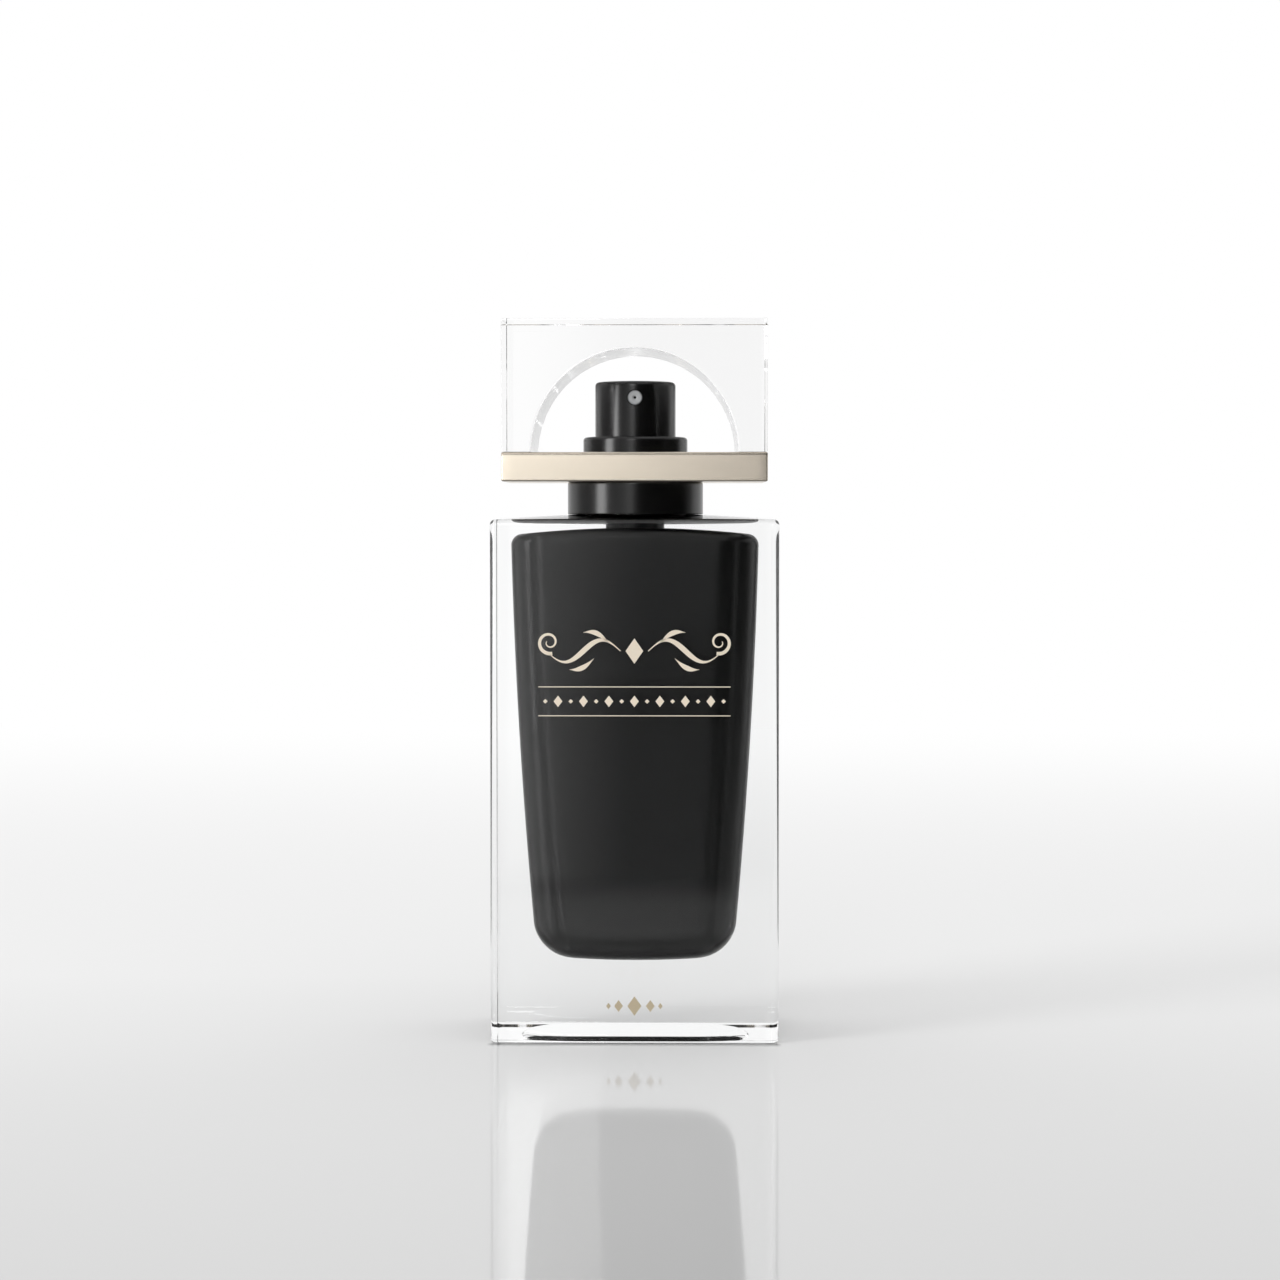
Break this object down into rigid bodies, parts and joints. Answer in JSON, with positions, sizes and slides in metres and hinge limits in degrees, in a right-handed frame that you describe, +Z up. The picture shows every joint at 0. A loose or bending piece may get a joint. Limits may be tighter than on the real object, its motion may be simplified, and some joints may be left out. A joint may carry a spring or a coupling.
{
  "type": "spray bottle",
  "caption": "Rectangular thick-glass spray bottle, black inside, with a press-down pump and a lift-off clear cap that has an arch through it on a champagne metal plate.",
  "frame": {"origin": "on the surface that the bottle stands on, under the pump's axis, in the middle of the base", "axes": "+Z up along the pump's axis, +X to the bottle's right seen from the front, front face towards -Y"},
  "size_m": [0.05, 0.027, 0.1255],
  "materials": {
    "clear_glass": "clear, fire-polished",
    "black_lacquer": "satin lacquer film, seen through the glass",
    "soft_seal": "matt",
    "bare_aluminium": "bright rolled",
    "polished_steel": "polished",
    "spring_steel": "drawn wire",
    "clear_tube": "milky translucent",
    "black_metal": "gloss black",
    "black_plastic": "moulded",
    "grey_plastic": "moulded",
    "champagne_metal": "satin anodised",
    "clear_acrylic": "clear, polished",
    "natural_plastic": "moulded, uncoloured"
  },
  "bodies": {
    "bottle": {"glass_bottle": "clear_glass", "inner_lacquer": "black_lacquer", "neck_gasket": "soft_seal", "crimp_ferrule": "bare_aluminium", "pump_housing": "natural_plastic", "pump_gland": "natural_plastic", "dip_tube": "clear_tube", "return_spring": "spring_steel", "collar_shell": "black_metal", "collar_liner": "black_plastic"},
    "plunger": {"piston": "natural_plastic", "valve_core": "natural_plastic"},
    "button": {"stem": "natural_plastic", "button_shell": "black_metal", "button_core": "black_plastic", "nozzle_insert": "grey_plastic"},
    "ball": {"inlet_ball": "polished_steel"},
    "cap": {"cap_plate": "champagne_metal", "cap_liner": "natural_plastic", "cap_block": "clear_acrylic"}
  },
  "joints": [
    {"name": "cap_lift", "type": "slide", "parent": "bottle", "child": "cap", "axis": [0, 0, 1], "range_m": [0, 0.03]},
    {"name": "button_press", "type": "slide", "parent": "bottle", "child": "plunger", "axis": [0, 0, -1], "range_m": [0, 0.0036], "stiffness_N_per_m": 800, "springref_m": -0.006, "deforming": ["return_spring"]},
    {"name": "button_turn", "type": "hinge", "parent": "plunger", "child": "button", "pos_m": [0, 0, 0.1], "axis": [0, 0, 1], "continuous": true},
    {"name": "ball_lift", "type": "slide", "parent": "bottle", "child": "ball", "axis": [0, 0, 1], "range_m": [0, 0.0007]}
  ]
}
